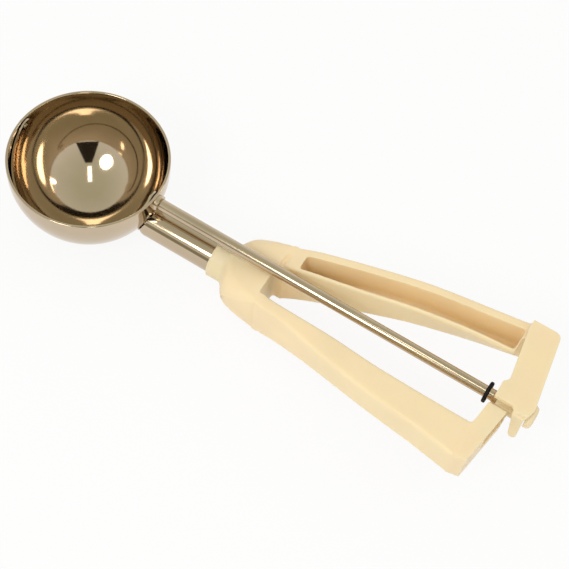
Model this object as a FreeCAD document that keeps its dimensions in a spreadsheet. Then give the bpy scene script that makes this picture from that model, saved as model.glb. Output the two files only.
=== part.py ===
import FreeCAD, Part
import math
import os
import Sketcher
from FreeCAD import Placement, Rotation, Vector

# Lever ice cream scoop, in millimetres.
# The origin is the centre of the bowl's sphere, on the axis of the scraper rod.
# X runs along the rod from the bowl to the handle, Y to the far side and Z up out of the bowl's mouth.

os.makedirs("parts", exist_ok=True)
doc = FreeCAD.newDocument("scoop")
sheet = doc.addObject("Spreadsheet::Sheet", "Sizes")

DRIVING_SIZES = {
    # bowl
    "bowl_radius": 33.0,
    "bowl_wall": 1.1,
    "lip_height": 4.0,
    # scraper blade, rod and pivots
    "blade_width": 8.0,
    "blade_thickness": 0.8,
    "blade_clearance": 0.35,
    "blade_tilt": 28.0,
    "rod_diameter": 4.76,
    "rod_tip_diameter": 3.0,
    "running_clearance": 0.06,
    "pivot_diameter": 3.0,
    "pivot_head_diameter": 6.0,
    "pivot_head_height": 0.8,
    "bush_wall": 1.0,
    "bush_length": 3.0,
    # shank tube, welded under the rod
    "shank_diameter": 15.0,
    "shank_wall": 1.0,
    "shank_drop": 14.8,
    "shank_length": 57.0,
    "shank_nose_length": 4.0,
    "shank_nose_reduction": 1.6,
    "weld_gap": 0.5,
    "weld_diameter": 2.2,
    # handle hub
    "hub_start": 61.8,
    "collar_diameter": 17.4,
    "collar_length": 6.5,
    "shoulder_length": 6.5,
    "shoulder_half_width": 15.6,
    "shoulder_height": 19.0,
    "hub_length": 26.0,
    "hub_height": 22.6,
    "hub_pin_diameter": 3.0,
    "rod_groove_clearance": 0.4,
    # hinges between hub and arms
    "hinge_reach": 2.2,
    "hinge_offset": 12.9,
    "hinge_radius": 2.7,
    "hinge_clearance": 0.3,
    # stations along the arms, measured from the hinge
    "root_station": 11.0,
    "waist_station": 30.0,
    "palm_station": 55.0,
    "heel_station": 78.0,
    "arm_length": 94.5,
    # outer side of both arms
    "root_outer": 17.9,
    "waist_outer": 22.7,
    "palm_outer": 27.6,
    "heel_outer": 30.5,
    "end_outer": 33.0,
    # top and bottom edges of both arms
    "hinge_top": -2.4,
    "root_top": 0.7,
    "waist_top": 2.0,
    "palm_top": 4.2,
    "heel_top": 5.5,
    "end_top": 5.6,
    "hinge_bottom": -24.8,
    "root_bottom": -20.4,
    "waist_bottom": -14.0,
    "palm_bottom": -11.0,
    "heel_bottom": -10.6,
    "end_bottom": -10.5,
    # inner edge of the near arm
    "hinge_near_inner": 10.2,
    "root_near_inner": 12.1,
    "waist_near_inner": 13.1,
    "palm_near_inner": 15.7,
    "heel_near_inner": 16.7,
    "end_near_inner": 16.8,
    # inner lip of the far arm, at its top and at its foot
    "hinge_lip_top": 4.4,
    "hinge_lip_foot": 1.6,
    "root_lip_top": 5.6,
    "waist_lip_top": 8.9,
    "palm_lip_top": 13.0,
    "heel_lip_top": 15.4,
    "end_lip_top": 16.4,
    "root_lip_foot": 4.6,
    "waist_lip_foot": 8.2,
    "palm_lip_foot": 15.6,
    "heel_lip_foot": 21.8,
    "end_lip_foot": 25.4,
    "outer_wall": 4.0,
    "lip_wall": 1.5,
    "pocket_floor": 2.6,
    "near_wall": 2.4,
    "arm_edge_radius": 1.6,
    "pocket_end_wall": 2.0,
    "far_pocket_start": 3.0,
    "far_pocket_end_wall": 0.8,
    # rack and pinion
    "tooth_module": 0.8,
    "tooth_count": 9.0,
    "tooth_play": 0.3,
    "rack_face": 5.8,
    "rack_gap": 0.6,
    "rack_start": 3.4,
    "cap_diameter": 9.6,
    "cap_length": 3.0,
    "cap_gap": 0.6,
    # cross-heads at the handle's end
    "far_plate_gap": 0.6,
    "far_plate_thickness": 2.2,
    "far_plate_depth": 12.3,
    "far_plate_front_slant": 8.0,
    "far_plate_rear_slant": 9.2,
    "far_plate_reach": 4.2,
    "boss_width": 9.0,
    "boss_reach": 1.6,
    "leg_width": 5.2,
    "leg_thickness": 1.7,
    "leg_taper": 1.8,
    "near_block_depth": 8.2,
    "near_block_end": 6.0,
    "near_block_outer_depth": 5.4,
    "rod_slot_clearance": 0.5,
    "pinion_clearance": 0.35,
    "near_lid_rise": 0.3,
    "corner_radius": 2.0,
    # washer on the rod in front of the cross-heads
    "washer_diameter": 8.8,
    "washer_thickness": 1.5,
    "washer_gap": 0.4,
}

for row, (alias, value) in enumerate(DRIVING_SIZES.items(), start=1):
    sheet.set("A%d" % row, alias)
    sheet.set("B%d" % row, str(value))
    sheet.setAlias("B%d" % row, alias)

# The hinges stand just behind the hub, wherever the hub ends
hinge_row = len(DRIVING_SIZES) + 1
sheet.set("A%d" % hinge_row, "hinge_station")
sheet.set("B%d" % hinge_row, "=hub_start + hub_length + hinge_reach")
sheet.setAlias("B%d" % hinge_row, "hinge_station")
doc.recompute()


def size(alias):
    """Driving dimension as a plain number."""
    return float(getattr(sheet, alias))


def number(expression):
    """Value of an expression over the sheet."""
    result = sheet.evalExpression(expression)
    return float(getattr(result, "Value", result))


NODES = {}


def keep(label, item):
    """Give a finished piece its own label and list it for export."""
    item.Label = label
    NODES[label] = item
    return item


def origin_plane(body, role):
    for feature in body.Origin.OriginFeatures:
        if feature.Role == role:
            return feature
    raise RuntimeError("no plane " + role)


def pin_corner(sketch, line, axis_constraint, axis, expression):
    """Hold the start of a line at an expression's distance from the sketch's origin."""
    if expression == "0":
        sketch.addConstraint(Sketcher.Constraint("PointOnObject", line, 1, axis))
        return
    start = Sketcher.Constraint(axis_constraint, -1, 1, line, 1, number(expression))
    index = sketch.addConstraint(start)
    sketch.setExpression("Constraints[%d]" % index, expression)


def polygon_sketch(body, role, name, corners):
    """Closed outline whose corners are pairs of expressions over the sheet."""
    sketch = body.newObject("Sketcher::SketchObject", name)
    sketch.AttachmentSupport = [(origin_plane(body, role), "")]
    sketch.MapMode = "FlatFace"
    points = [Vector(number(across), number(up), 0) for across, up in corners]
    count = len(points)
    for index, point in enumerate(points):
        sketch.addGeometry(Part.LineSegment(point, points[(index + 1) % count]), False)
    for index in range(count):
        following = (index + 1) % count
        sketch.addConstraint(Sketcher.Constraint("Coincident", index, 2, following, 1))
    for index, (across, up) in enumerate(corners):
        pin_corner(sketch, index, "DistanceX", -2, across)
        pin_corner(sketch, index, "DistanceY", -1, up)
    return sketch


def turned_body(label, corners, height="0"):
    """Piece turned about a line along X: corners give the distance along X and the radius."""
    body = doc.addObject("PartDesign::Body", label)
    body.setExpression("Placement.Base.z", height)
    sketch = polygon_sketch(body, "XZ_Plane", label + "_profile", corners)
    turned = body.newObject("PartDesign::Revolution", label + "_turned")
    turned.Profile = sketch
    turned.ReferenceAxis = (sketch, ["H_Axis"])
    turned.Angle = 360
    sketch.Visibility = False
    body.Tip = turned
    doc.recompute()
    return keep(label, body)


def solid_feature(label, shape):
    """Piece whose shape is computed from the sheet by a function below."""
    item = doc.addObject("Part::Feature", label)
    item.Shape = shape
    return keep(label, item)


# Values worked out from the sheet and shared by several pieces
BOWL_INSIDE = "(Sizes.bowl_radius - Sizes.bowl_wall)"
ROD_RADIUS = "Sizes.rod_diameter / 2"
PITCH_RADIUS = "(Sizes.tooth_module * Sizes.tooth_count / 2)"
TIP_RADIUS = "(Sizes.tooth_module * (Sizes.tooth_count / 2 + 1))"
ARM_END = "(Sizes.hinge_station + Sizes.arm_length)"
FACE_START = "(" + ARM_END + " + Sizes.rack_start)"
FACE_MIDDLE = "(" + FACE_START + " + Sizes.rack_face)"
FACE_END = "(" + FACE_MIDDLE + " + Sizes.rack_gap + Sizes.rack_face)"
CAP_START = "(" + FACE_END + " + Sizes.cap_gap)"
EYE_OUTSIDE = "(" + BOWL_INSIDE + " - Sizes.blade_clearance)"
EYE_INSIDE = "(" + EYE_OUTSIDE + " - Sizes.blade_thickness)"


def make_bowl():
    """Half sphere with a short straight lip, pierced on the rod's axis at both sides."""
    outside = size("bowl_radius")
    inside = number(BOWL_INSIDE)
    body = doc.addObject("PartDesign::Body", "bowl")
    sketch = body.newObject("Sketcher::SketchObject", "bowl_profile")
    sketch.AttachmentSupport = [(origin_plane(body, "XZ_Plane"), "")]
    sketch.MapMode = "FlatFace"
    centre = Vector(0, 0, 0)
    normal = Vector(0, 0, 1)
    lip = size("lip_height")
    outer_arc = Part.ArcOfCircle(Part.Circle(centre, normal, outside), -math.pi / 2, 0)
    inner_arc = Part.ArcOfCircle(Part.Circle(centre, normal, inside), -math.pi / 2, 0)
    sketch.addGeometry(outer_arc, False)
    sketch.addGeometry(Part.LineSegment(Vector(outside, 0, 0), Vector(outside, lip, 0)), False)
    sketch.addGeometry(Part.LineSegment(Vector(outside, lip, 0), Vector(inside, lip, 0)), False)
    sketch.addGeometry(Part.LineSegment(Vector(inside, lip, 0), Vector(inside, 0, 0)), False)
    sketch.addGeometry(inner_arc, False)
    sketch.addGeometry(Part.LineSegment(Vector(0, -inside, 0), Vector(0, -outside, 0)), False)
    for arc in (0, 4):
        sketch.addConstraint(Sketcher.Constraint("Coincident", arc, 3, -1, 1))
        sketch.addConstraint(Sketcher.Constraint("PointOnObject", arc, 1, -2))
        sketch.addConstraint(Sketcher.Constraint("PointOnObject", arc, 2, -1))
    for first, second in ((0, 1), (1, 2), (2, 3)):
        sketch.addConstraint(Sketcher.Constraint("Coincident", first, 2, second, 1))
    sketch.addConstraint(Sketcher.Constraint("Coincident", 3, 2, 4, 2))
    sketch.addConstraint(Sketcher.Constraint("Coincident", 4, 1, 5, 1))
    sketch.addConstraint(Sketcher.Constraint("Coincident", 5, 2, 0, 1))
    sketch.addConstraint(Sketcher.Constraint("Vertical", 1))
    sketch.addConstraint(Sketcher.Constraint("Horizontal", 2))
    sketch.addConstraint(Sketcher.Constraint("Vertical", 3))
    radius = sketch.addConstraint(Sketcher.Constraint("Radius", 0, outside))
    sketch.setExpression("Constraints[%d]" % radius, "Sizes.bowl_radius")
    radius = sketch.addConstraint(Sketcher.Constraint("Radius", 4, inside))
    sketch.setExpression("Constraints[%d]" % radius, BOWL_INSIDE)
    height = sketch.addConstraint(Sketcher.Constraint("DistanceY", 1, 1, 1, 2, lip))
    sketch.setExpression("Constraints[%d]" % height, "Sizes.lip_height")
    turned = body.newObject("PartDesign::Revolution", "bowl_shell")
    turned.Profile = sketch
    turned.ReferenceAxis = (sketch, ["V_Axis"])
    turned.Angle = 360
    sketch.Visibility = False
    doc.recompute()
    pierce(body, "bush_hole", "Sizes.rod_diameter + 2 * Sizes.bush_wall", False)
    pierce(body, "pivot_hole", "Sizes.pivot_diameter", True)
    return keep("bowl", body)


def pierce(body, name, diameter, towards_far_end):
    """Round hole through one side of the bowl, from the centre plane outwards along X."""
    before = body.Shape.Volume
    sketch = body.newObject("Sketcher::SketchObject", name + "_circle")
    sketch.AttachmentSupport = [(origin_plane(body, "YZ_Plane"), "")]
    sketch.MapMode = "FlatFace"
    sketch.addGeometry(Part.Circle(Vector(0, 0, 0), Vector(0, 0, 1), number(diameter) / 2), False)
    sketch.addConstraint(Sketcher.Constraint("Coincident", 0, 3, -1, 1))
    index = sketch.addConstraint(Sketcher.Constraint("Diameter", 0, number(diameter)))
    sketch.setExpression("Constraints[%d]" % index, diameter)
    hole = body.newObject("PartDesign::Pocket", name)
    hole.Profile = sketch
    hole.setExpression("Length", "2 * Sizes.bowl_radius")
    hole.Reversed = not towards_far_end
    sketch.Visibility = False
    body.Tip = hole
    doc.recompute()
    if body.Shape.Volume >= before:
        raise RuntimeError(name + " cuts nothing")


def blade_frame():
    """Turns +Z of a flat-lying blade's width to its place against the near side of the bowl."""
    return Placement(Vector(0, 0, 0), Rotation(Vector(1, 0, 0), size("blade_tilt")))


def make_blade():
    """Half-round strip of spring steel just inside the bowl, with an eye at each end."""
    outside = number(EYE_OUTSIDE)
    inside = number(EYE_INSIDE)
    half_width = size("blade_width") / 2
    shell = Part.makeSphere(outside).cut(Part.makeSphere(inside))
    strip = Part.makeBox(2 * outside, outside, 2 * half_width, Vector(-outside, -outside, -half_width))
    eyes = Part.makeCylinder(half_width, 2 * outside, Vector(-outside, 0, 0), Vector(1, 0, 0))
    blade = shell.common(strip.fuse(eyes).removeSplitter())
    rod_hole = Part.makeCylinder(number(ROD_RADIUS), outside, Vector(0, 0, 0), Vector(1, 0, 0))
    pivot_radius = size("pivot_diameter") / 2 + size("running_clearance")
    pivot_hole = Part.makeCylinder(pivot_radius, outside, Vector(0, 0, 0), Vector(-1, 0, 0))
    blade = blade.cut(rod_hole).cut(pivot_hole)
    blade.Placement = blade_frame()
    return solid_feature("scraper_blade", blade)


def make_rod_line():
    """Rod, its bush and rivet, the pinion's cap and the washer, all turned about the rod's axis."""
    shoulder = ARM_END + " + Sizes.rack_start - 0.4"
    tip_radius = "Sizes.rod_tip_diameter / 2"
    turned_body("scraper_rod", [
        (EYE_INSIDE + " - 1.2", "0"),
        (EYE_INSIDE + " - 1.2", ROD_RADIUS + " + 0.6"),
        (EYE_INSIDE + " - 0.2", ROD_RADIUS + " + 0.6"),
        (EYE_INSIDE + " - 0.2", ROD_RADIUS),
        (shoulder, ROD_RADIUS),
        (shoulder, tip_radius),
        (CAP_START + " + Sizes.cap_length - 0.8", tip_radius),
        (CAP_START + " + Sizes.cap_length - 0.8", "0"),
    ])
    bush_bore = ROD_RADIUS + " + Sizes.running_clearance"
    bush_outside = ROD_RADIUS + " + Sizes.bush_wall"
    bush_start = EYE_OUTSIDE + " + 0.1"
    turned_body("rod_bush", [
        (bush_start, bush_bore),
        (bush_start, bush_outside),
        (bush_start + " + Sizes.bush_length", bush_outside),
        (bush_start + " + Sizes.bush_length", bush_bore),
    ])
    pivot_inner = "-(" + EYE_INSIDE + " - 0.5)"
    head_face = "-(Sizes.bowl_radius)"
    turned_body("far_pivot_rivet", [
        (pivot_inner, "0"),
        (pivot_inner, "Sizes.pivot_diameter / 2"),
        (head_face, "Sizes.pivot_diameter / 2"),
        (head_face, "Sizes.pivot_head_diameter / 2"),
        (head_face + " - Sizes.pivot_head_height * 0.5", "Sizes.pivot_head_diameter / 2"),
        (head_face + " - Sizes.pivot_head_height", "Sizes.pivot_head_diameter / 4"),
        (head_face + " - Sizes.pivot_head_height", "0"),
    ])
    washer_start = ARM_END + " - Sizes.washer_gap - Sizes.washer_thickness"
    turned_body("rod_washer", [
        (washer_start, ROD_RADIUS),
        (washer_start, "Sizes.washer_diameter / 2 - 0.35"),
        (washer_start + " + 0.35", "Sizes.washer_diameter / 2"),
        (washer_start + " + Sizes.washer_thickness - 0.35", "Sizes.washer_diameter / 2"),
        (washer_start + " + Sizes.washer_thickness", "Sizes.washer_diameter / 2 - 0.35"),
        (washer_start + " + Sizes.washer_thickness", ROD_RADIUS),
    ])
    turned_body("rod_end_cap", [
        (CAP_START, tip_radius),
        (CAP_START, "Sizes.cap_diameter / 2"),
        (CAP_START + " + Sizes.cap_length - 1.4", "Sizes.cap_diameter / 2"),
        (CAP_START + " + Sizes.cap_length - 0.4", "Sizes.cap_diameter / 2 - 0.7"),
        (CAP_START + " + Sizes.cap_length", "Sizes.cap_diameter / 2 - 2"),
        (CAP_START + " + Sizes.cap_length", "0"),
        (CAP_START + " + Sizes.cap_length - 0.8", "0"),
        (CAP_START + " + Sizes.cap_length - 0.8", tip_radius),
    ])


def make_pinion():
    """Straight-sided gear on the rod's stepped end."""
    body = doc.addObject("PartDesign::Body", "pinion")
    bore = "Sizes.rod_tip_diameter / 2"
    root = "(" + PITCH_RADIUS + " - 1.15 * Sizes.tooth_module)"
    sketch = polygon_sketch(body, "XZ_Plane", "pinion_core_profile", [
        (FACE_START, bore), (FACE_START, root), (FACE_END, root), (FACE_END, bore)])
    core = body.newObject("PartDesign::Revolution", "pinion_core")
    core.Profile = sketch
    core.ReferenceAxis = (sketch, ["H_Axis"])
    core.Angle = 360
    sketch.Visibility = False
    doc.recompute()
    half_root = "0.34 * pi * Sizes.tooth_module"
    half_tip = "0.13 * pi * Sizes.tooth_module"
    tooth = polygon_sketch(body, "YZ_Plane", "pinion_tooth_profile", [
        ("-" + half_root, "-(" + root + " - 0.3)"), (half_root, "-(" + root + " - 0.3)"),
        (half_tip, "-" + TIP_RADIUS), ("-" + half_tip, "-" + TIP_RADIUS)])
    tooth.AttachmentOffset = Placement(Vector(0, 0, number(FACE_START)), Rotation())
    tooth.setExpression("AttachmentOffset.Base.z", FACE_START)
    pad = body.newObject("PartDesign::Pad", "pinion_tooth")
    pad.Profile = tooth
    pad.setExpression("Length", FACE_END + " - " + FACE_START)
    tooth.Visibility = False
    doc.recompute()
    ring = body.newObject("PartDesign::PolarPattern", "pinion_teeth")
    ring.Originals = [pad]
    ring.Axis = (sketch, ["H_Axis"])
    ring.Angle = 360
    ring.setExpression("Occurrences", "Sizes.tooth_count")
    body.Tip = ring
    doc.recompute()
    return keep("pinion", body)


def make_shank():
    """Round tube below the rod, slightly drawn in at its nose and cut to the bowl's curve."""
    radius = size("shank_diameter") / 2
    inside = radius - size("shank_wall")
    nose = radius - size("shank_nose_reduction")
    drop = size("shank_drop")
    seat = math.sqrt((size("bowl_radius") + size("weld_gap")) ** 2 - drop ** 2)
    front = seat - radius
    blend = seat - size("shank_nose_length") / 2
    tail = seat + size("shank_length")
    outline = [
        Vector(front, 0, inside - size("shank_nose_reduction")),
        Vector(front, 0, nose),
        Vector(blend, 0, nose),
    ]
    edges = [Part.makePolygon(outline).Edges[0], Part.makePolygon(outline).Edges[1]]
    swell_end = Vector(blend + size("shank_nose_length"), 0, radius)
    swell_middle = Vector(blend + size("shank_nose_length") * 0.32, 0, radius - 0.3 * size("shank_nose_reduction"))
    edges.append(Part.Arc(outline[2], swell_middle, swell_end).toShape())
    back = [swell_end, Vector(tail, 0, radius), Vector(tail, 0, inside),
            Vector(swell_end.x, 0, inside), outline[0]]
    for first, second in zip(back, back[1:]):
        edges.append(Part.LineSegment(first, second).toShape())
    face = Part.Face(Part.Wire(edges))
    tube = face.revolve(Vector(0, 0, 0), Vector(1, 0, 0), 360)
    tube.translate(Vector(0, 0, -drop))
    tube = tube.cut(Part.makeSphere(size("bowl_radius") + size("weld_gap")))
    pin = Part.makeCylinder(size("hub_pin_diameter") / 2, 2 * radius,
                            Vector(hub_pin_station(), -radius, -drop), Vector(0, 1, 0))
    return solid_feature("shank_tube", tube.cut(pin))


def hub_pin_station():
    """Where the cross pin holds the hub on the tube."""
    return size("hub_start") + size("collar_length") + size("shoulder_length")


def make_welds():
    """Weld beads that join the tube's nose to the outside of the bowl."""
    drop = size("shank_drop")
    reach = size("shank_diameter") / 2 - size("shank_nose_reduction") - 0.2
    beads = []
    for angle in (40, 90, 140, 215, 270, 325):
        across = reach * math.cos(math.radians(angle))
        up = reach * math.sin(math.radians(angle)) - drop
        seat = math.sqrt((size("bowl_radius") + size("weld_gap") / 2) ** 2 - across ** 2 - up ** 2)
        beads.append(Part.makeSphere(size("weld_diameter") / 2, Vector(seat, across, up)))
    weld = beads[0].multiFuse(beads[1:])
    weld = weld.cut(NODES["bowl"].Shape).cut(NODES["shank_tube"].Shape)
    outside = [piece for piece in weld.Solids if piece.Volume > 0.05]
    inner_bowl = Part.makeSphere(number(BOWL_INSIDE) + size("bowl_wall") / 2)
    outside = [piece for piece in outside if piece.common(inner_bowl).Volume < 0.001]
    return solid_feature("shank_welds", Part.makeCompound(outside))


def rounded_rectangle(station, half_width, bottom, top, radius):
    """Closed wire across X with four round corners."""
    low = -half_width + radius
    high = half_width - radius
    floor = bottom + radius
    roof = top - radius
    slant = radius * math.sqrt(0.5)
    edges = []

    def line(a, b):
        edges.append(Part.LineSegment(Vector(station, *a), Vector(station, *b)).toShape())

    def arc(a, middle, b):
        edges.append(Part.Arc(Vector(station, *a), Vector(station, *middle), Vector(station, *b)).toShape())

    line((low, bottom), (high, bottom))
    arc((high, bottom), (high + slant, floor - slant), (half_width, floor))
    line((half_width, floor), (half_width, roof))
    arc((half_width, roof), (high + slant, roof + slant), (high, top))
    line((high, top), (low, top))
    arc((low, top), (low - slant, roof + slant), (-half_width, roof))
    line((-half_width, roof), (-half_width, floor))
    arc((-half_width, floor), (low - slant, floor - slant), (low, bottom))
    return Part.Wire(edges)


def eased(stations, values, station):
    """Smooth curve through the values that never swings past them."""
    spans = [b - a for a, b in zip(stations, stations[1:])]
    slopes = [(b - a) / span for a, b, span in zip(values, values[1:], spans)]
    tangents = [slopes[0]]
    for before, after in zip(slopes, slopes[1:]):
        tangents.append(0.0 if before * after <= 0 else 2 * before * after / (before + after))
    tangents.append(slopes[-1])
    index = max(i for i in range(len(spans)) if i == 0 or station >= stations[i])
    part = (station - stations[index]) / spans[index]
    start_weight = 2 * part ** 3 - 3 * part ** 2 + 1
    curve = start_weight * values[index] + (1 - start_weight) * values[index + 1]
    curve += (part ** 3 - 2 * part ** 2 + part) * spans[index] * tangents[index]
    return curve + (part ** 3 - part ** 2) * spans[index] * tangents[index + 1]


def filled_in(rows, spacing):
    """Rows of one value per column, with eased rows added between them; the first column is the station."""
    stations = [row[0] for row in rows]
    columns = list(zip(*rows))[1:]
    count = max(len(rows), int(round((stations[-1] - stations[0]) / spacing)))
    result = []
    for index in range(count + 1):
        station = stations[0] + (stations[-1] - stations[0]) * index / count
        result.append([station] + [eased(stations, column, station) for column in columns])
    return result


def hinge_point(side):
    return Vector(size("hinge_station"), side * size("hinge_offset"), 0)


def hinge_cylinder(side, radius):
    """Upright cylinder about one arm's hinge, through the whole height of the handle."""
    bottom = hinge_point(side) + Vector(0, 0, size("hinge_bottom"))
    return Part.makeCylinder(radius, size("hinge_top") - size("hinge_bottom"), bottom)


def make_hub():
    """Collar round the tube that swells into two shoulders, with a socket for each arm's hinge."""
    start = size("hub_start")
    drop = size("shank_drop")
    collar_radius = size("collar_diameter") / 2
    collar_end = start + size("collar_length")
    shoulder = collar_end + size("shoulder_length")
    end = start + size("hub_length")
    half = size("shoulder_half_width")
    flat = 0.05
    collar = Part.makeCylinder(collar_radius, size("collar_length"), Vector(start, 0, -drop), Vector(1, 0, 0))
    collar = collar.makeFillet(0.5, [edge for edge in collar.Edges if edge.BoundBox.XMax < start + 0.1])
    low_end = size("hinge_bottom")
    high_end = low_end + size("hub_height")
    middle = (shoulder + end) / 2
    half_height = size("shoulder_height") / 2
    rows = [
        (collar_end, collar_radius, -drop - collar_radius, -drop + collar_radius, collar_radius - flat),
        (shoulder, half - 0.6, -drop - half_height, -drop + half_height, 7.5),
        (middle, half, (low_end - half_height - drop) / 2, (high_end + half_height - drop) / 2, 5.0),
        (end, half, low_end, high_end, 2.5),
    ]
    sections = [rounded_rectangle(*row) for row in filled_in(rows, 2.5)]
    body = Part.makeLoft(sections, True, False)
    hub = body.fuse(collar)
    bore_end = shank_tail_station()
    bore = Part.makeCylinder(size("shank_diameter") / 2, bore_end - start + 1, Vector(start - 1, 0, -drop),
                             Vector(1, 0, 0))
    hub = hub.cut(bore)
    for side in (-1, 1):
        hub = hub.cut(hinge_cylinder(side, size("hinge_radius") + size("hinge_clearance")))
    groove_radius = number(ROD_RADIUS) + size("rod_groove_clearance")
    groove = Part.makeCylinder(groove_radius, size("hub_length") + 2, Vector(start - 1, 0, 0), Vector(1, 0, 0))
    hub = hub.cut(groove)
    pin = Part.makeCylinder(size("hub_pin_diameter") / 2, 2 * half, Vector(hub_pin_station(), -half, -drop),
                            Vector(0, 1, 0))
    hub = hub.cut(pin)
    hub_feature = solid_feature("handle_hub", hub)
    pin_length = size("shoulder_half_width") - 2.6
    cross_pin = Part.makeCylinder(size("hub_pin_diameter") / 2, 2 * pin_length,
                                  Vector(hub_pin_station(), -pin_length, -drop), Vector(0, 1, 0))
    solid_feature("hub_cross_pin", cross_pin)
    return hub_feature


def shank_tail_station():
    """X of the tube's end inside the hub."""
    seat = math.sqrt((size("bowl_radius") + size("weld_gap")) ** 2 - size("shank_drop") ** 2)
    return seat + size("shank_length")


def rounded_loop(station, corners, radius):
    """Closed wire across X through corners in Y and Z, each with the same small round."""
    count = len(corners)
    points = [Vector(station, across, up) for across, up in corners]
    edges = []
    starts = []
    ends = []
    for index, corner in enumerate(points):
        towards_last = (points[index - 1] - corner).normalize()
        towards_next = (points[(index + 1) % count] - corner).normalize()
        half_angle = towards_last.getAngle(towards_next) / 2
        cut_back = radius / math.tan(half_angle)
        entry = corner + towards_last * cut_back
        leave = corner + towards_next * cut_back
        inward = (towards_last + towards_next).normalize()
        middle = corner + inward * (radius / math.sin(half_angle) - radius)
        starts.append(entry)
        ends.append(leave)
        edges.append(Part.Arc(entry, middle, leave).toShape())
    loop = []
    for index in range(count):
        loop.append(edges[index])
        loop.append(Part.LineSegment(ends[index], starts[(index + 1) % count]).toShape())
    return Part.Wire(loop)


STATIONS = ("root", "waist", "palm", "heel")


def arm_sections(side, inner_top, inner_foot):
    """Sections of one arm from the hinge to its end, as station, outer, inner and height values."""
    hinge_outer = size("hinge_offset") + size("hinge_radius")
    rows = [(size("hinge_station"), hinge_outer, size("hinge" + inner_top), size("hinge" + inner_foot),
             size("hinge_top"), size("hinge_bottom"))]
    for name in STATIONS:
        rows.append((size("hinge_station") + size(name + "_station"), size(name + "_outer"),
                     size(name + inner_top), size(name + inner_foot),
                     size(name + "_top"), size(name + "_bottom")))
    rows.append((number(ARM_END), size("end_outer"), size("end" + inner_top), size("end" + inner_foot),
                 size("end_top"), size("end_bottom")))
    return rows


def arm_solid(side, rows):
    radius = size("arm_edge_radius")
    wires = []
    for station, outer, inner_top, inner_foot, top, bottom in filled_in(rows, 6.0):
        corners = [(side * outer, top), (side * outer, bottom), (side * inner_foot, bottom),
                   (side * inner_top, top)]
        wires.append(rounded_loop(station, corners, radius))
    arm = Part.makeLoft(wires, True, False)
    return arm.fuse(hinge_cylinder(side, size("hinge_radius")))


def make_far_arm():
    """Arm whose pocket opens upwards, between its outer wall and a thin inner lip."""
    rows = arm_sections(1, "_lip_top", "_lip_foot")
    arm = arm_solid(1, rows)
    wires = []
    pocket_start = size("hinge_station") + size("far_pocket_start")
    pocket_end = number(ARM_END) - size("far_pocket_end_wall")
    pocket_rows = [list(row) for row in filled_in(rows, 3.0) if row[0] > pocket_start]
    pocket_rows[-1][0] = pocket_end
    for station, outer, inner_top, inner_foot, top, bottom in pocket_rows:
        floor = bottom + size("pocket_floor")
        drop = (top - floor) / (top - bottom)
        inner_floor = inner_top + (inner_foot - inner_top) * drop + size("lip_wall")
        wall_side = outer - size("outer_wall")
        corners = [(wall_side, top + 2), (max(wall_side, inner_floor + 1.5), floor), (inner_floor, floor),
                   (inner_top + size("lip_wall"), top + 2)]
        wires.append(rounded_loop(station, corners, 0.4))
    pocket = Part.makeLoft(wires, True, False)
    return solid_feature("far_arm", arm.cut(pocket))


def make_near_arm():
    """Arm with a flat top, whose pocket opens downwards."""
    rows = arm_sections(-1, "_near_inner", "_near_inner")
    arm = arm_solid(-1, rows)
    wall = size("near_wall")
    wires = []
    pocket_rows = [list(row) for row in rows[2:]]
    pocket_rows[-1][0] -= size("pocket_end_wall")
    for station, outer, inner_top, inner_foot, top, bottom in filled_in(pocket_rows, 6.0):
        roof = top - size("pocket_floor")
        corners = [(-(outer - wall), roof), (-(outer - wall), bottom - 2), (-(inner_foot + wall), bottom - 2),
                   (-(inner_top + wall), roof)]
        wires.append(rounded_loop(station, corners, 0.5))
    pocket = Part.makeLoft(wires, True, False)
    return solid_feature("near_arm", arm.cut(pocket))


def prism(corners, bottom, top):
    """Upright solid on a plan outline."""
    points = [Vector(along, across, bottom) for along, across in corners]
    points.append(points[0])
    return Part.Face(Part.makePolygon(points)).extrude(Vector(0, 0, top - bottom))


def rack_teeth(side, face_start, centre_phase, first, last):
    """Teeth that pass the pinion parallel to X, spaced on an arc about one arm's hinge."""
    module = size("tooth_module")
    pitch_radius = number(PITCH_RADIUS)
    half_pitch_width = math.pi * module / 4 - size("tooth_play")
    slope = math.tan(math.radians(20))
    tip = pitch_radius - 0.8 * module
    root = pitch_radius + 1.3 * module
    half_tip = half_pitch_width - slope * 0.8 * module
    half_root = half_pitch_width + slope * 1.3 * module
    outline = [
        Vector(face_start, -half_root, side * root),
        Vector(face_start, half_root, side * root),
        Vector(face_start, half_tip, side * tip),
        Vector(face_start, -half_tip, side * tip),
    ]
    outline.append(outline[0])
    tooth = Part.Face(Part.makePolygon(outline)).extrude(Vector(size("rack_face"), 0, 0))
    lever = face_start + size("rack_face") / 2 - size("hinge_station")
    step = math.degrees(math.pi * module / lever)
    teeth = []
    for index in range(first, last):
        copy = tooth.copy()
        copy.rotate(hinge_point(side), Vector(0, 0, 1), (index + centre_phase) * step)
        teeth.append(copy)
    return teeth


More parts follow.
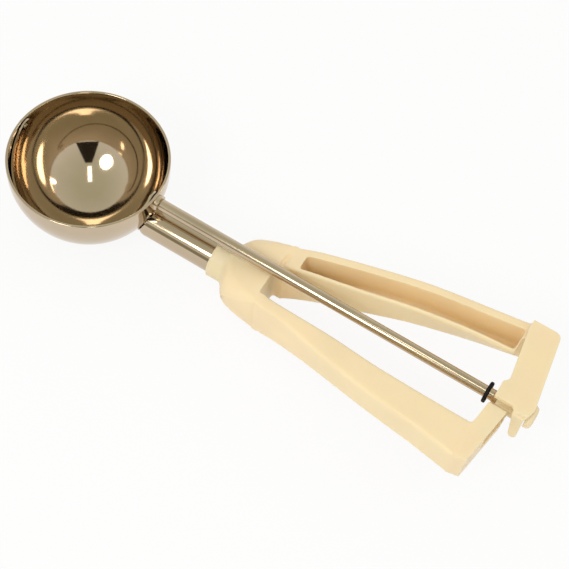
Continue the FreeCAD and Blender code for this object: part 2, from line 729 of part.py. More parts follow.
def make_far_crosshead():
    """Far arm's end: a cover plate over the pinion with the upper rack, and a guide leg."""
    arm_end = number(ARM_END)
    plate_bottom = near_top() + size("far_plate_gap")
    plate_top = plate_bottom + size("far_plate_thickness")
    outer = size("end_outer")
    near_end = -size("far_plate_reach")
    front = arm_end + 0.75 * outer * math.tan(math.radians(size("far_plate_front_slant")))
    rear_slope = math.tan(math.radians(size("far_plate_rear_slant")))
    boss_front = front - size("boss_reach")
    boss_far = near_end + size("boss_width")
    corner = size("corner_radius")

    def rear(across):
        """X of the plate's slanted rear edge."""
        return arm_end + size("far_plate_depth") + rear_slope * (outer - across)

    far_corner = [
        (arm_end, outer), (rear(outer) - corner, outer), (rear(outer) - corner * 0.3, outer - corner * 0.3),
        (rear(outer - corner), outer - corner)]
    plate = prism(far_corner + [
        (rear(near_end + 3), near_end + 3), (rear(near_end + 3) - 1.2, near_end - 1.5),
        (front + 7.2, near_end - 1.5), (front + 6.6, near_end), (boss_front, near_end),
        (boss_front, boss_far - 1.5), (front, boss_far), (front, boss_far + 2), (arm_end, outer - 4)],
        plate_bottom, plate_top)
    block_inner = size("end_lip_foot")
    block = prism(far_corner + [(rear(block_inner), block_inner), (arm_end, block_inner)],
                  size("end_bottom"), plate_bottom)
    face_start = number(FACE_MIDDLE) + size("rack_gap")
    rack_root = number(PITCH_RADIUS) + 1.15 * size("tooth_module")
    rack_far_end = 15.0
    bar = Part.makeBox(size("rack_face"), rack_far_end + 2.2, plate_bottom - rack_root,
                       Vector(face_start, -2.2, rack_root))
    behind = prism([
        (rear(near_end), near_end), (rear(block_inner), block_inner),
        (rear(block_inner) + corner, block_inner), (rear(near_end) + corner, near_end)],
        rack_root - 3 * size("tooth_module"), plate_bottom)
    rack = [piece.cut(behind) for piece in [bar] + rack_teeth(1, face_start, 0, 0, 6)]
    crosshead = plate.fuse([block] + rack)
    leg_start = face_start + size("rack_face") - size("leg_width") + 0.4
    leg_face = near_end - 1.0
    leg_points = [
        Vector(leg_start, 0, plate_bottom), Vector(leg_start + size("leg_width"), 0, plate_bottom),
        Vector(leg_start + size("leg_width"), 0, size("end_bottom") + 2),
        Vector(leg_start + size("leg_width") - 1, 0, size("end_bottom") + 0.3),
        Vector(leg_start + size("leg_taper") + 0.8, 0, size("end_bottom") + 0.3),
        Vector(leg_start + size("leg_taper"), 0, size("end_bottom") + 2),
    ]
    leg_points.append(leg_points[0])
    leg = Part.Face(Part.makePolygon(leg_points)).extrude(Vector(0, -size("leg_thickness"), 0))
    leg.translate(Vector(0, leg_face + 0.3, 0))
    crosshead = crosshead.fuse(leg)
    return solid_feature("far_crosshead", crosshead.removeSplitter())


def near_top():
    """Height of the near cross-head's lid."""
    return size("end_top") + size("near_lid_rise")


def make_near_crosshead():
    """Near arm's end: a block that straddles the rod, with the lower rack as its floor."""
    arm_end = number(ARM_END)
    outer = size("end_outer")
    inner = size("end_near_inner")
    end = size("near_block_end")
    bottom = size("end_bottom")
    depth = size("near_block_depth")
    front_end = arm_end + 1.2
    face_start = number(FACE_START)
    face_end = face_start + size("rack_face")
    rear_side = [
        (arm_end, -outer), (arm_end + size("near_block_outer_depth"), -(outer - 1)),
        (arm_end + depth + 1.1, -end)]
    block = prism(rear_side + [(front_end, -end), (arm_end, -inner)], bottom, near_top())
    tip_room = number(TIP_RADIUS) + size("pinion_clearance")
    rack_root = -(number(PITCH_RADIUS) + 1.15 * size("tooth_module"))
    channel_far = -(end + 14.0)
    channel = Part.makeBox(depth + 5, 30, tip_room - rack_root,
                           Vector(face_start - 0.4, channel_far, rack_root))
    rod_room = number(ROD_RADIUS) + size("rod_slot_clearance")
    slot = Part.makeBox(6, 30, 2 * rod_room, Vector(arm_end - 1, channel_far, -rod_room))
    block = block.cut(channel).cut(slot)
    floor = Part.makeBox(face_end - front_end, end + 2.4, rack_root - bottom, Vector(front_end, -end, bottom))
    inside = prism(rear_side + [(arm_end + depth + 1.1, end), (arm_end, end)], bottom, near_top())
    teeth = [tooth.common(inside) for tooth in rack_teeth(-1, face_start, 0.5, -6, 1)]
    block = block.fuse([floor] + teeth)
    return solid_feature("near_crosshead", block.removeSplitter())


make_bowl()
make_blade()
make_rod_line()
make_pinion()
make_shank()
make_welds()
make_hub()
make_far_arm()
make_near_arm()
make_far_crosshead()
make_near_crosshead()
doc.recompute()

for item in doc.Objects:
    if "Invalid" in item.State or "Error" in item.State:
        raise RuntimeError("failed object " + item.Label)
for label, item in NODES.items():
    if item.Shape.isNull() or not item.Shape.isValid():
        raise RuntimeError("bad shape " + label)
for label, item in NODES.items():
    item.Shape.exportStep("parts/" + label + ".step")
    box = item.Shape.BoundBox
    print("%-18s solids %d  volume %8.1f  x %7.2f %7.2f  y %7.2f %7.2f  z %7.2f %7.2f" % (
        label, len(item.Shape.Solids), item.Shape.Volume,
        box.XMin, box.XMax, box.YMin, box.YMax, box.ZMin, box.ZMax))
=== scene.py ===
import math

import bpy
from mathutils import Matrix, Vector


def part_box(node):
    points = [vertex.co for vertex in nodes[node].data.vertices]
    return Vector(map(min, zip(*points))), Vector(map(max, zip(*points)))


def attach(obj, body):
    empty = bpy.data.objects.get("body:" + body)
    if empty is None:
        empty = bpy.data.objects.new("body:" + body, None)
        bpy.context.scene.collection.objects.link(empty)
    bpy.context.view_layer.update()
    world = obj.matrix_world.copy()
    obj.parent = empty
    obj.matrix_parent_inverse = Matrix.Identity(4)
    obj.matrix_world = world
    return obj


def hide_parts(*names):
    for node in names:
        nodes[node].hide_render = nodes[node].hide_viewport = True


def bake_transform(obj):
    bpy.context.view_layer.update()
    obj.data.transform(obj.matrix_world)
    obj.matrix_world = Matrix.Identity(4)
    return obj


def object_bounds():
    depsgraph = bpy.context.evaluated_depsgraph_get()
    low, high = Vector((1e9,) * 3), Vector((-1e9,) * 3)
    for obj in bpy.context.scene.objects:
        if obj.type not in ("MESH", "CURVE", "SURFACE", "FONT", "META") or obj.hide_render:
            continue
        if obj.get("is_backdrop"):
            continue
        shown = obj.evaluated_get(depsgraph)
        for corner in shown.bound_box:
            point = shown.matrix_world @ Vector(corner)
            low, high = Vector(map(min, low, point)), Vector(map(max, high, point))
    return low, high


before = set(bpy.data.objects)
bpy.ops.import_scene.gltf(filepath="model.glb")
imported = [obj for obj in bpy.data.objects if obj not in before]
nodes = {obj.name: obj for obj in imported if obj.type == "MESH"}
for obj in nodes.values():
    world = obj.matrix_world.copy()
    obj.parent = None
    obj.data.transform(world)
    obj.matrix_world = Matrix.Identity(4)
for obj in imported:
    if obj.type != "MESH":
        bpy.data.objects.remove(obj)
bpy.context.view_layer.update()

MM = 0.001
WHITE = (1.0, 1.0, 1.0)

# Camera, in the frame of the scoop: the bowl's centre is the origin and X runs along the rod
CAMERA_PLACE = Vector((0.20866, -0.26789, 0.50817))
CAMERA_RIGHT = Vector((0.8498, 0.5208, 0.0807))
CAMERA_UP = Vector((-0.4897, 0.7237, 0.4862))
CAMERA_BACK = Vector((0.1948, -0.4527, 0.8701))
FOCAL_LENGTH_IN_PIXELS = 1500
IMAGE_SIDE_IN_PIXELS = 569
SENSOR_WIDTH = 36

# Sizes of the turned pieces, in millimetres
BOWL_RADIUS = 33.0
BOWL_WALL = 1.1
LIP_HEIGHT = 4.0
ROD_RADIUS = 2.38
RIM_ROUNDING = 0.35
ROD_END_ROUNDING = 0.5

# How finely the turned pieces are made
BOWL_SEGMENTS = 192
BOWL_RINGS = 96
ROD_SIDES = 72
PLUG_SIDES = 24
ROUNDING_STEPS = 4

# Tolerances in metres, and angles in degrees
WELD_DISTANCE = 0.000002
BOWL_CUT_HEIGHT = 0.00001
BOWL_EDGE_DEPTH = 0.00002
SHARP_ANGLE = 60
SOFTENED_ANGLE = 32
SMOOTH_ANGLE = 38
SKIN_SMOOTH_ANGLE = 50

# Small roundings of carried-over nodes, in metres
GEAR_ROUNDING = 0.00015
WASHER_ROUNDING = 0.0001

# The moulded handle, in millimetres: the plastic over its cross pin, the web where its arms
# bend, and its skin
SKIN_GRAIN = 0.4
CLOSING = 0.45
PLUG_OVERLAP = 0.3
PLUG_REACH = 14.9
HALF_OVERLAP = 1.5
SOFTENING = 9
SOFTENING_STRENGTH = 0.5
MOST_TRIANGLES = 185000
WEB_LOW = (86.0, 2.2, -24.2)
WEB_HIGH = (91.6, 13.0, -3.2)

# Colours as linear red, green and blue
STEEL_COLOUR = (0.56, 0.45, 0.32)
IVORY_COLOUR = (0.92, 0.75, 0.475)
RUBBER_COLOUR = (0.006, 0.0055, 0.005)
LAMP_COLOUR = (1.0, 0.98, 0.95)
CEILING_COLOUR = (0.60, 0.62, 0.52)
# Paler ivory painted on convex edges as a painted highlight
PAINTED_HIGHLIGHT_IVORY_COLOUR = (0.93, 0.80, 0.58)
FLOOR_COLOUR = (0.9, 0.9, 0.9)

# Light levels
ROOM_LIGHT = 0.74
FLOOR_WHITENESS = 0.88

# Studio, in metres
FLOOR_SIDE = 8.0
FLOOR_MIDDLE = 0.08
FLOOR_GAP = 0.0002
LAMP_DISTANCE = 1.08

# Lamps: name, azimuth, elevation, width, height, power and shape
LAMPS = (
    ("key_lamp", -94, 48, 0.36, 0.42, 3.2, "ELLIPSE"),
    ("strip_lamp", -54, 73, 0.10, 0.44, 0.55, "RECTANGLE"),
    ("side_lamp", 42, 34, 0.14, 0.26, 0.45, "ELLIPSE"),
)

# Cards: name, azimuth, elevation, distance, width, height, shade and narrowing of the upper edge
CARDS = (
    ("dark_card", -52, 40, 0.9, 0.56, 0.52, (0.03, 0.025, 0.02), 0.3),
    ("low_wall", -88, 13, 1.3, 2.4, 0.46, (0.36, 0.35, 0.26), 1.0),
)


# Node groups that several materials share

def new_group(name, inputs, outputs):
    """Shader node group with named value inputs and named outputs."""
    group = bpy.data.node_groups.new(name, "ShaderNodeTree")
    for label, kind, default in inputs:
        socket = group.interface.new_socket(label, in_out="INPUT", socket_type=kind)
        socket.default_value = default
    for label, kind in outputs:
        group.interface.new_socket(label, in_out="OUTPUT", socket_type=kind)
    group.nodes.new("NodeGroupInput")
    group.nodes.new("NodeGroupOutput")
    return group


def add_node(tree, kind, **settings):
    node = tree.nodes.new(kind)
    for key, value in settings.items():
        setattr(node, key, value)
    return node


def noise(tree, vector, scale, detail=3.0, roughness=0.5):
    node = add_node(tree, "ShaderNodeTexNoise")
    node.inputs["Detail"].default_value = detail
    node.inputs["Roughness"].default_value = roughness
    if isinstance(scale, (int, float)):
        node.inputs["Scale"].default_value = scale
    else:
        tree.links.new(scale, node.inputs["Scale"])
    tree.links.new(vector, node.inputs["Vector"])
    return node.outputs["Fac"]


def spread(tree, value, low, high, to_low=0.0, to_high=1.0):
    """Map a value from one range to another, clamped."""
    node = add_node(tree, "ShaderNodeMapRange")
    tree.links.new(value, node.inputs["Value"])
    node.inputs["From Min"].default_value = low
    node.inputs["From Max"].default_value = high
    node.inputs["To Min"].default_value = to_low
    node.inputs["To Max"].default_value = to_high
    return node.outputs["Result"]


def calculate(tree, operation, first, second):
    node = add_node(tree, "ShaderNodeMath", operation=operation)
    for index, value in enumerate((first, second)):
        if isinstance(value, (int, float)):
            node.inputs[index].default_value = value
        else:
            tree.links.new(value, node.inputs[index])
    return node.outputs[0]


def make_mottle_group():
    """Slow blotches and fine specks, as masks from 0 to 1."""
    group = new_group(
        "mottle",
        [("Blotch Scale", "NodeSocketFloat", 60.0), ("Speck Scale", "NodeSocketFloat", 900.0)],
        [("Blotches", "NodeSocketFloat"), ("Specks", "NodeSocketFloat")],
    )
    source = group.nodes["Group Input"]
    out = group.nodes["Group Output"]
    place = add_node(group, "ShaderNodeTexCoord").outputs["Object"]
    slow = noise(group, place, source.outputs["Blotch Scale"], 4.0)
    blotches = spread(group, slow, 0.32, 0.68)
    fine = noise(group, place, source.outputs["Speck Scale"], 2.0)
    specks = spread(group, fine, 0.40, 0.62)
    group.links.new(blotches, out.inputs["Blotches"])
    group.links.new(specks, out.inputs["Specks"])
    return group


def make_scratch_group():
    """Fine scratches that run along X, as a mask from 0 to 1."""
    group = new_group(
        "scratches",
        [("Fineness", "NodeSocketFloat", 1.0)],
        [("Scratches", "NodeSocketFloat")],
    )
    source = group.nodes["Group Input"]
    out = group.nodes["Group Output"]
    place = add_node(group, "ShaderNodeTexCoord").outputs["Object"]
    stretch = add_node(group, "ShaderNodeMapping")
    stretch.inputs["Scale"].default_value = (40.0, 2600.0, 2600.0)
    group.links.new(place, stretch.inputs["Vector"])
    lines = noise(group, stretch.outputs["Vector"], source.outputs["Fineness"], 2.0, 0.6)
    group.links.new(spread(group, lines, 0.45, 0.72), out.inputs["Scratches"])
    return group


def make_edge_highlight_group():
    """Mask of the painted highlight on convex edges, broken up so that it isn't even."""
    group = new_group(
        "painted_edge_highlight_mask",
        [("Break Up", "NodeSocketFloat", 300.0)],
        [("Highlight", "NodeSocketFloat")],
    )
    source = group.nodes["Group Input"]
    out = group.nodes["Group Output"]
    place = add_node(group, "ShaderNodeTexCoord").outputs["Object"]
    pointiness = add_node(group, "ShaderNodeNewGeometry").outputs["Pointiness"]
    # Convex edges, where the painted highlight goes
    edge = spread(group, pointiness, 0.51, 0.60)
    broken = spread(group, noise(group, place, source.outputs["Break Up"], 3.0), 0.35, 0.65)
    group.links.new(calculate(group, "MULTIPLY", edge, broken), out.inputs["Highlight"])
    return group


MOTTLE = make_mottle_group()
SCRATCHES = make_scratch_group()
PAINTED_EDGE_HIGHLIGHT = make_edge_highlight_group()


def use_group(tree, group, **values):
    node = add_node(tree, "ShaderNodeGroup", node_tree=group)
    for label, value in values.items():
        node.inputs[label.replace("_", " ")].default_value = value
    return node


def blend_colours(tree, mask, first, second):
    """Colour that goes from the first to the second as the mask goes from 0 to 1."""
    node = add_node(tree, "ShaderNodeMix", data_type="RGBA")
    tree.links.new(mask, node.inputs["Factor"])
    for label, colour in (("A", first), ("B", second)):
        socket = [item for item in node.inputs if item.name == label and item.type == "RGBA"][0]
        if isinstance(colour, tuple):
            socket.default_value = (*colour, 1.0)
        else:
            tree.links.new(colour, socket)
    return [item for item in node.outputs if item.type == "RGBA"][0]


def shaded(colour, factor):
    return tuple(channel * factor for channel in colour)


def new_material(name):
    material = bpy.data.materials.new(name)
    material.use_nodes = True
    return material, material.node_tree, material.node_tree.nodes["Principled BSDF"]


def bump(tree, shader, height, strength, distance):
    node = add_node(tree, "ShaderNodeBump")
    node.inputs["Strength"].default_value = strength
    node.inputs["Distance"].default_value = distance
    tree.links.new(height, node.inputs["Height"])
    tree.links.new(node.outputs["Normal"], shader.inputs["Normal"])


def make_steel(name, colour, roughness, scratch_strength):
    """Polished stainless steel with a warm cast, soft smears and fine scratches."""
    material, tree, shader = new_material(name)
    mottle = use_group(tree, MOTTLE, Blotch_Scale=45.0, Speck_Scale=1400.0)
    scratches = use_group(tree, SCRATCHES, Fineness=1.0)
    base = blend_colours(
        tree, mottle.outputs["Blotches"], shaded(colour, 0.93), shaded(colour, 1.05))
    tree.links.new(base, shader.inputs["Base Color"])
    smears = calculate(tree, "MULTIPLY", mottle.outputs["Blotches"], roughness * 0.6)
    lines = calculate(tree, "MULTIPLY", scratches.outputs["Scratches"], scratch_strength)
    rough = calculate(tree, "ADD", calculate(tree, "ADD", smears, lines), roughness)
    tree.links.new(rough, shader.inputs["Roughness"])
    shader.inputs["Metallic"].default_value = 1.0
    bump(tree, shader, scratches.outputs["Scratches"], 0.05, 0.00002)
    return material


def make_ivory(name, colour):
    """Moulded ivory plastic: faint flow marks, convex edges painted paler as a painted
    highlight, and a soft satin skin.
    """
    material, tree, shader = new_material(name)
    mottle = use_group(tree, MOTTLE, Blotch_Scale=38.0, Speck_Scale=1100.0)
    edge_highlight = use_group(tree, PAINTED_EDGE_HIGHLIGHT, Break_Up=260.0)
    flow = blend_colours(
        tree, mottle.outputs["Blotches"], shaded(colour, 0.965), shaded(colour, 1.02))
    # Painted highlight: convex edges blend towards a paler ivory
    highlighted_edges = blend_colours(tree, edge_highlight.outputs["Highlight"], flow, PAINTED_HIGHLIGHT_IVORY_COLOUR)
    tree.links.new(highlighted_edges, shader.inputs["Base Color"])
    rough = spread(tree, mottle.outputs["Specks"], 0.0, 1.0, 0.38, 0.50)
    tree.links.new(rough, shader.inputs["Roughness"])
    shader.inputs["Subsurface Weight"].default_value = 0.35
    shader.inputs["Subsurface Scale"].default_value = 1.0
    shader.inputs["Subsurface Radius"].default_value = (0.0045, 0.0035, 0.0022)
    shader.inputs["Specular IOR Level"].default_value = 0.35
    bump(tree, shader, mottle.outputs["Specks"], 0.10, 0.00005)
    return material


def make_rubber(name, colour):
    """Matt black washer with a dusty bloom."""
    material, tree, shader = new_material(name)
    mottle = use_group(tree, MOTTLE, Blotch_Scale=300.0, Speck_Scale=2500.0)
    base = blend_colours(tree, mottle.outputs["Specks"], colour, shaded(colour, 2.4))
    tree.links.new(base, shader.inputs["Base Color"])
    rough = spread(tree, mottle.outputs["Blotches"], 0.0, 1.0, 0.55, 0.8)
    tree.links.new(rough, shader.inputs["Roughness"])
    shader.inputs["Specular IOR Level"].default_value = 0.15
    bump(tree, shader, mottle.outputs["Specks"], 0.2, 0.00004)
    return material


BRIGHT_STEEL = make_steel("bright_steel", STEEL_COLOUR, 0.05, 0.04)
ROD_STEEL = make_steel("drawn_steel", STEEL_COLOUR, 0.11, 0.10)
IVORY = make_ivory("ivory_plastic", IVORY_COLOUR)
RUBBER = make_rubber("black_rubber", RUBBER_COLOUR)


# Finishing of carried-over nodes

def finish_edges(item, bevel):
    """Weld the corners of a node, soften its edges and smooth its curved faces."""
    weld = item.modifiers.new("welded", "WELD")
    weld.merge_threshold = WELD_DISTANCE
    if bevel > 0:
        rounding = item.modifiers.new("softened", "BEVEL")
        rounding.width = bevel
        rounding.segments = 2
        rounding.limit_method = "ANGLE"
        rounding.angle_limit = math.radians(SOFTENED_ANGLE)
    smooth = item.modifiers.new("smoothed", "EDGE_SPLIT")
    smooth.split_angle = math.radians(SMOOTH_ANGLE)
    smooth.use_edge_sharp = False


def dress(node, material, bevel=0.0):
    """Give a node that keeps its shape a material and finished edges."""
    item = nodes[node]
    item.data.materials.clear()
    item.data.materials.append(material)
    for polygon in item.data.polygons:
        polygon.use_smooth = True
    finish_edges(item, bevel)


# Modelling, in millimetres until a piece is settled

def clear_selection():
    bpy.ops.object.select_all(action="DESELECT")


def activate(item):
    clear_selection()
    item.select_set(True)
    bpy.context.view_layer.objects.active = item


def in_edit(item):
    """Open a piece for editing with all of it selected."""
    activate(item)
    bpy.ops.object.mode_set(mode="EDIT")
    bpy.ops.mesh.select_all(action="SELECT")


def out_of_edit():
    bpy.ops.object.mode_set(mode="OBJECT")


def apply_modifiers(item):
    activate(item)
    for modifier in list(item.modifiers):
        bpy.ops.object.modifier_apply(modifier=modifier.name)


def settle(item, name, material, body, angle=SMOOTH_ANGLE):
    """Put a finished piece's place in its mesh, and give it its name, finish and body."""
    activate(item)
    bpy.ops.object.transform_apply(location=True, rotation=True, scale=True)
    bpy.ops.object.shade_smooth_by_angle(angle=math.radians(angle))
    item.name = name
    item.data.materials.clear()
    item.data.materials.append(material)
    if body:
        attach(item, body)


def select_vertices(item, wanted):
    """In edit mode with nothing selected: select the vertices whose place is wanted."""
    out_of_edit()
    for vertex in item.data.vertices:
        vertex.select = wanted(vertex.co)
    bpy.ops.object.mode_set(mode="EDIT")


def make_bowl():
    """Half sphere with a short straight lip, its wall thickened inwards and its rim rounded."""
    clear_selection()
    bpy.ops.mesh.primitive_uv_sphere_add(
        segments=BOWL_SEGMENTS, ring_count=BOWL_RINGS, radius=BOWL_RADIUS * MM)
    bowl = bpy.context.object
    in_edit(bowl)
    bpy.ops.mesh.bisect(plane_co=(0, 0, BOWL_CUT_HEIGHT), plane_no=(0, 0, 1), clear_outer=True)
    bpy.ops.mesh.select_all(action="DESELECT")
    bpy.ops.mesh.select_mode(type="VERT")
    select_vertices(bowl, lambda place: place.z > -BOWL_EDGE_DEPTH)
    bpy.ops.mesh.select_mode(type="EDGE")
    half_lip = (0, 0, LIP_HEIGHT * MM / 2)
    bpy.ops.mesh.extrude_edges_move(TRANSFORM_OT_translate={"value": half_lip})
    bpy.ops.mesh.extrude_edges_move(TRANSFORM_OT_translate={"value": half_lip})
    out_of_edit()
    wall = bowl.modifiers.new("wall", "SOLIDIFY")
    wall.thickness = BOWL_WALL * MM
    wall.offset = -1
    wall.use_even_offset = True
    rim = bowl.modifiers.new("rim", "BEVEL")
    rim.width = RIM_ROUNDING * MM
    rim.segments = ROUNDING_STEPS
    rim.limit_method = "ANGLE"
    rim.angle_limit = math.radians(SHARP_ANGLE)
    apply_modifiers(bowl)
    settle(bowl, "spun_bowl", BRIGHT_STEEL, "bowl_and_shank")
    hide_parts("bowl")


def make_rod():
    """Long rod with rounded ends, in the place of the plain one."""
    low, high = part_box("scraper_rod")
    length = high.x - low.x
    clear_selection()
    bpy.ops.mesh.primitive_cylinder_add(
        vertices=ROD_SIDES, radius=ROD_RADIUS * MM, depth=length,
        location=((low.x + high.x) / 2, 0, 0), rotation=(0, math.pi / 2, 0))
    rod = bpy.context.object
    ends = rod.modifiers.new("ends", "BEVEL")
    ends.width = ROD_END_ROUNDING * MM
    ends.segments = ROUNDING_STEPS
    ends.limit_method = "ANGLE"
    ends.angle_limit = math.radians(SHARP_ANGLE)
    apply_modifiers(rod)
    settle(rod, "drawn_rod", ROD_STEEL, "scraper")
    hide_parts("scraper_rod")


def merged_copy(node):
    """Copy of a node as one closed skin: its loose triangles are joined."""
    item = nodes[node].copy()
    item.data = nodes[node].data.copy()
    item.parent = None
    item.matrix_world = Matrix.Identity(4)
    bpy.context.scene.collection.objects.link(item)
    in_edit(item)
    bpy.ops.mesh.remove_doubles(threshold=WELD_DISTANCE)
    out_of_edit()
    return item


def swell(item, amount):
    """Move the skin out along its normals, or in where the amount is negative."""
    grow = item.modifiers.new("swell", "DISPLACE")
    grow.direction = "NORMAL"
    grow.mid_level = 0
    grow.strength = amount


def make_web():
    """Web that joins the hub to the far arm's inner side, where the plastic bends."""
    clear_selection()
    centre = [(low + high) / 2 * MM for low, high in zip(WEB_LOW, WEB_HIGH)]
    bpy.ops.mesh.primitive_cube_add(size=1, location=centre)
    web = bpy.context.object
    web.scale = [(high - low) * MM for low, high in zip(WEB_LOW, WEB_HIGH)]
    bpy.ops.object.transform_apply(location=True, rotation=True, scale=True)
    return web


def make_plug():
    """Plastic over both ends of the cross pin, flush with the shoulders."""
    low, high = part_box("hub_cross_pin")
    clear_selection()
    bpy.ops.mesh.primitive_cylinder_add(
        vertices=PLUG_SIDES, radius=(high.x - low.x) / 2 + PLUG_OVERLAP * MM,
        depth=2 * PLUG_REACH * MM,
        location=((low.x + high.x) / 2, 0, (low.z + high.z) / 2), rotation=(math.pi / 2, 0, 0))
    plug = bpy.context.object
    bpy.ops.object.transform_apply(location=True, rotation=True, scale=True)
    return plug


def hub_half(side):
    """Half of the hub on one side, with a little over its middle so that the halves overlap."""
    half = merged_copy("handle_hub")
    in_edit(half)
    bpy.ops.mesh.bisect(plane_co=(0, -side * HALF_OVERLAP * MM, 0), plane_no=(0, -side, 0),
                        use_fill=True, clear_outer=True)
    out_of_edit()
    return half


def make_side(name, side, arm, crosshead, fillers):
    """One side of the handle as a single plastic skin: half of the hub, its arm and cross-head.

    The skin is grown until the gaps between the pieces close, made anew, shrunk back and
    smoothed, as a moulding has soft edges."""
    parts = [hub_half(side), merged_copy(arm), merged_copy(crosshead)] + fillers
    for part in parts:
        swell(part, CLOSING * MM)
        apply_modifiers(part)
    clear_selection()
    for part in parts:
        part.select_set(True)
    skin = parts[0]
    bpy.context.view_layer.objects.active = skin
    bpy.ops.object.join()
    remesh = skin.modifiers.new("skin", "REMESH")
    remesh.mode = "VOXEL"
    remesh.voxel_size = SKIN_GRAIN * MM
    swell(skin, -CLOSING * MM)
    soft = skin.modifiers.new("soft", "SMOOTH")
    soft.factor = SOFTENING_STRENGTH
    soft.iterations = SOFTENING
    apply_modifiers(skin)
    thin = skin.modifiers.new("thinned", "DECIMATE")
    thin.ratio = min(1.0, MOST_TRIANGLES / (2 * len(skin.data.polygons)))
    apply_modifiers(skin)
    settle(skin, name, IVORY, None, SKIN_SMOOTH_ANGLE)
    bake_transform(skin)
    return skin


def make_handle():
    """Both sides of the handle; the nodes are hidden only once both sides are made."""
    far = make_side(
        "far_moulding", 1, "far_arm", "far_crosshead", [make_web(), make_plug()])
    near = make_side(
        "near_moulding", -1, "near_arm", "near_crosshead", [make_plug()])
    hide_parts("handle_hub", "far_arm", "far_crosshead")
    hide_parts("near_arm", "near_crosshead")


make_bowl()
make_rod()
make_handle()
for name in ("pinion", "rod_end_cap"):
    dress(name, IVORY, GEAR_ROUNDING)
for name in ("far_pivot_rivet", "shank_welds", "rod_bush", "hub_cross_pin", "scraper_blade",
             "shank_tube"):
    dress(name, BRIGHT_STEEL)
dress("rod_washer", RUBBER, WASHER_ROUNDING)


# Studio

def aim(item):
    """Turn a lamp or card to face the bowl's centre."""
    item.rotation_euler = (Vector((0, 0, 0)) - item.location).to_track_quat("-Z", "Y").to_euler()


def towards(azimuth, elevation, distance):
    """Point at a distance from the bowl's centre, by its direction in degrees."""
    turn, rise = math.radians(azimuth), math.radians(elevation)
    return distance * Vector((
        math.cos(rise) * math.cos(turn), math.cos(rise) * math.sin(turn), math.sin(rise)))


def make_camera():
    data = bpy.data.cameras.new("camera")
    data.sensor_width = SENSOR_WIDTH
    data.lens = SENSOR_WIDTH * FOCAL_LENGTH_IN_PIXELS / IMAGE_SIDE_IN_PIXELS
    camera = bpy.data.objects.new("camera", data)
    bpy.context.scene.collection.objects.link(camera)
    turn = Matrix((CAMERA_RIGHT, CAMERA_UP, CAMERA_BACK)).transposed()
    camera.matrix_world = Matrix.Translation(CAMERA_PLACE) @ turn.to_4x4()
    data.clip_start = 0.01
    data.clip_end = 50
    bpy.context.scene.camera = camera


def make_lamp(name, place, width, height, power, shape):
    """Area lamp that faces the bowl."""
    data = bpy.data.lights.new(name, "AREA")
    data.shape = shape
    data.size = width
    data.size_y = height
    data.energy = power
    data.color = LAMP_COLOUR
    lamp = bpy.data.objects.new(name, data)
    bpy.context.scene.collection.objects.link(lamp)
    lamp.location = place
    aim(lamp)


def seen_directly(tree):
    """1 for rays from the camera, from gloss and through glass."""
    path = add_node(tree, "ShaderNodeLightPath")
    mirrored = calculate(
        tree, "ADD", path.outputs["Is Glossy Ray"], path.outputs["Is Transmission Ray"])
    total = calculate(tree, "ADD", path.outputs["Is Camera Ray"], mirrored)
    return calculate(tree, "MINIMUM", total, 1.0)


def make_world():
    """Pale room: white at the horizon, a little darker overhead."""
    world = bpy.data.worlds.new("studio")
    bpy.context.scene.world = world
    world.use_nodes = True
    tree = world.node_tree
    light = tree.nodes["Background"]
    light.inputs["Color"].default_value = (*LAMP_COLOUR, 1.0)
    light.inputs["Strength"].default_value = ROOM_LIGHT
    direction = add_node(tree, "ShaderNodeTexCoord").outputs["Generated"]
    parts = add_node(tree, "ShaderNodeSeparateXYZ")
    tree.links.new(direction, parts.inputs[0])
    height = spread(tree, parts.outputs["Z"], 0.15, 0.95)
    shade = blend_colours(tree, height, WHITE, CEILING_COLOUR)
    seen = add_node(tree, "ShaderNodeBackground")
    tree.links.new(shade, seen.inputs["Color"])
    seen.inputs["Strength"].default_value = 1.0
    mix = add_node(tree, "ShaderNodeMixShader")
    tree.links.new(seen_directly(tree), mix.inputs[0])
    tree.links.new(light.outputs[0], mix.inputs[1])
    tree.links.new(seen.outputs[0], mix.inputs[2])
    tree.links.new(mix.outputs[0], tree.nodes["World Output"].inputs["Surface"])


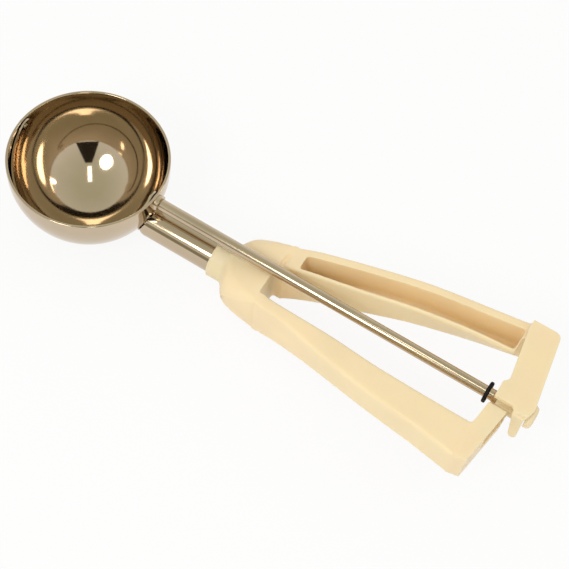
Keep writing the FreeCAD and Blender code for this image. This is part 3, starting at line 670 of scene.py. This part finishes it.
def make_floor():
    """Pale floor just under the scoop, white where it is seen directly."""
    low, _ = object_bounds()
    clear_selection()
    bpy.ops.mesh.primitive_plane_add(
        size=FLOOR_SIDE, location=(FLOOR_MIDDLE, 0, low.z - FLOOR_GAP))
    floor = bpy.context.object
    floor.name = "floor"
    material, tree, shader = new_material("pale_floor")
    shader.inputs["Base Color"].default_value = (*FLOOR_COLOUR, 1.0)
    shader.inputs["Roughness"].default_value = 0.9
    shader.inputs["Specular IOR Level"].default_value = 0.0
    glow = add_node(tree, "ShaderNodeEmission")
    glow.inputs["Color"].default_value = (*WHITE, 1.0)
    mix = add_node(tree, "ShaderNodeMixShader")
    whitened = calculate(tree, "MULTIPLY", seen_directly(tree), FLOOR_WHITENESS)
    tree.links.new(whitened, mix.inputs[0])
    tree.links.new(shader.outputs[0], mix.inputs[1])
    tree.links.new(glow.outputs[0], mix.inputs[2])
    tree.links.new(mix.outputs[0], tree.nodes["Material Output"].inputs["Surface"])
    floor.data.materials.append(material)
    floor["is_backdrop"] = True


def make_card(name, place, width, height, shade, narrowing):
    """Card that only shows in the steel, as the dark parts of a room do."""
    clear_selection()
    bpy.ops.mesh.primitive_plane_add(size=1.0, location=place)
    card = bpy.context.object
    card.name = name
    for vertex in card.data.vertices:
        if vertex.co.y > 0:
            vertex.co.x *= narrowing
    card.scale = (width, height, 1.0)
    aim(card)
    material, tree, _ = new_material(name)
    glow = add_node(tree, "ShaderNodeEmission")
    glow.inputs["Color"].default_value = (*shade, 1.0)
    tree.links.new(glow.outputs[0], tree.nodes["Material Output"].inputs["Surface"])
    card.data.materials.append(material)
    card.visible_camera = False
    card.visible_diffuse = False
    card.visible_shadow = False
    card.visible_transmission = False
    card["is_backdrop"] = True


make_camera()
make_world()
for name, azimuth, elevation, width, height, power, shape in LAMPS:
    make_lamp(name, towards(azimuth, elevation, LAMP_DISTANCE), width, height, power, shape)
for name, azimuth, elevation, distance, width, height, shade, narrowing in CARDS:
    make_card(name, towards(azimuth, elevation, distance), width, height, shade, narrowing)
make_floor()
bpy.context.scene.view_settings.view_transform = "Standard"
